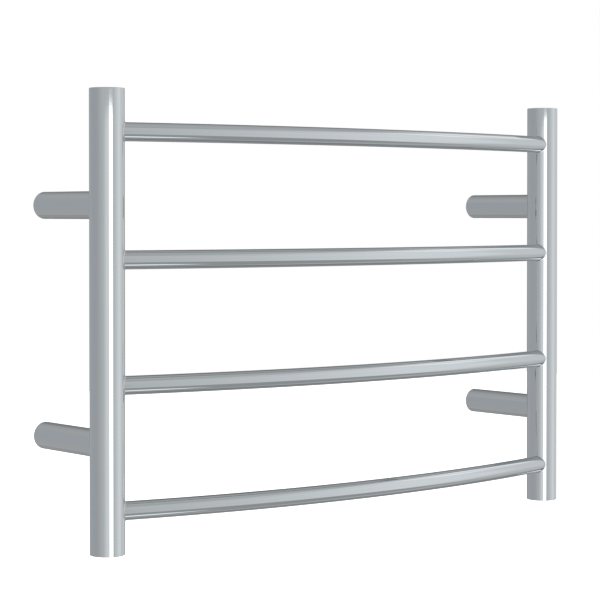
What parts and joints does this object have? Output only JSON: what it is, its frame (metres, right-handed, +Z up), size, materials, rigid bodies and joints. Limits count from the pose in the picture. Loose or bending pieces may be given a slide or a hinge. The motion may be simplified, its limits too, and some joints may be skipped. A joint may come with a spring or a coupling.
{
  "type": "towel warmer rack",
  "caption": "Wall-mounted electric towel warmer: bowed polished rails between two upright posts on stand-off tubes, with a dry heating cable inside.",
  "frame": {"origin": "on the wall plane, midway between the four wall bosses", "axes": "+X along the rails to the viewer's right, +Y into the wall (the front faces -Y), +Z up"},
  "size_m": [0.592, 0.1511, 0.42],
  "materials": {
    "polished_tube": "stainless steel tube, mirror polished after welding",
    "turned_steel": "turned stainless steel bar, fine concentric tool marks",
    "screw_steel": "plain stainless steel fasteners, machined",
    "tinned_brass": "tinned brass, dull",
    "silicone_sheath": "extruded silicone rubber sheath, satin",
    "heat_shrink": "black adhesive-lined heat-shrink, satin",
    "nylon": "moulded white polyamide",
    "brown_insulation": "brown wire insulation",
    "blue_insulation": "blue wire insulation",
    "green_insulation": "green earth wire insulation",
    "grommet_rubber": "dark grey moulded rubber"
  },
  "bodies": {
    "wall_bosses": {"lower_left_wall_boss": "turned_steel", "upper_left_wall_boss": "turned_steel", "lower_right_wall_boss": "turned_steel", "upper_right_wall_boss": "turned_steel", "lead_in_grommet": "grommet_rubber"},
    "rack": {"left_post": "polished_tube", "left_post_top_cap": "polished_tube", "left_post_bottom_cap": "polished_tube", "right_post": "polished_tube", "right_post_top_cap": "polished_tube", "right_post_bottom_cap": "polished_tube", "bottom_rail": "polished_tube", "lower_middle_rail": "polished_tube", "upper_middle_rail": "polished_tube", "top_rail": "polished_tube", "lower_left_standoff": "polished_tube", "upper_left_standoff": "polished_tube", "lower_right_standoff": "polished_tube", "upper_right_standoff": "polished_tube", "heating_cable": "silicone_sheath", "cable_end_seal": "heat_shrink", "cold_joint_sleeve": "heat_shrink", "terminal_block": "nylon", "earth_terminal_screw": "screw_steel", "neutral_terminal_screw": "screw_steel", "live_terminal_screw": "screw_steel", "live_wire": "brown_insulation", "thermal_cutout": "tinned_brass", "cutout_wire": "brown_insulation", "neutral_wire": "blue_insulation", "earth_tag": "tinned_brass", "earth_stud": "screw_steel", "earth_nut": "screw_steel", "earth_wire": "green_insulation"},
    "lower_left_screw": {"lower_left_grub_screw": "screw_steel"},
    "upper_left_screw": {"upper_left_grub_screw": "screw_steel"},
    "lower_right_screw": {"lower_right_grub_screw": "screw_steel"},
    "upper_right_screw": {"upper_right_grub_screw": "screw_steel"}
  },
  "joints": [
    {"name": "rack_slide_off", "type": "slide", "parent": "wall_bosses", "child": "rack", "axis": [0, -1, 0], "range_m": [0, 0.03]},
    {"name": "lower_left_screw_back_out", "type": "slide", "parent": "rack", "child": "lower_left_screw", "axis": [0, 0, -1], "range_m": [0, 0.0016]},
    {"name": "upper_left_screw_back_out", "type": "slide", "parent": "rack", "child": "upper_left_screw", "axis": [0, 0, -1], "range_m": [0, 0.0016]},
    {"name": "lower_right_screw_back_out", "type": "slide", "parent": "rack", "child": "lower_right_screw", "axis": [0, 0, -1], "range_m": [0, 0.0016]},
    {"name": "upper_right_screw_back_out", "type": "slide", "parent": "rack", "child": "upper_right_screw", "axis": [0, 0, -1], "range_m": [0, 0.0016]}
  ]
}
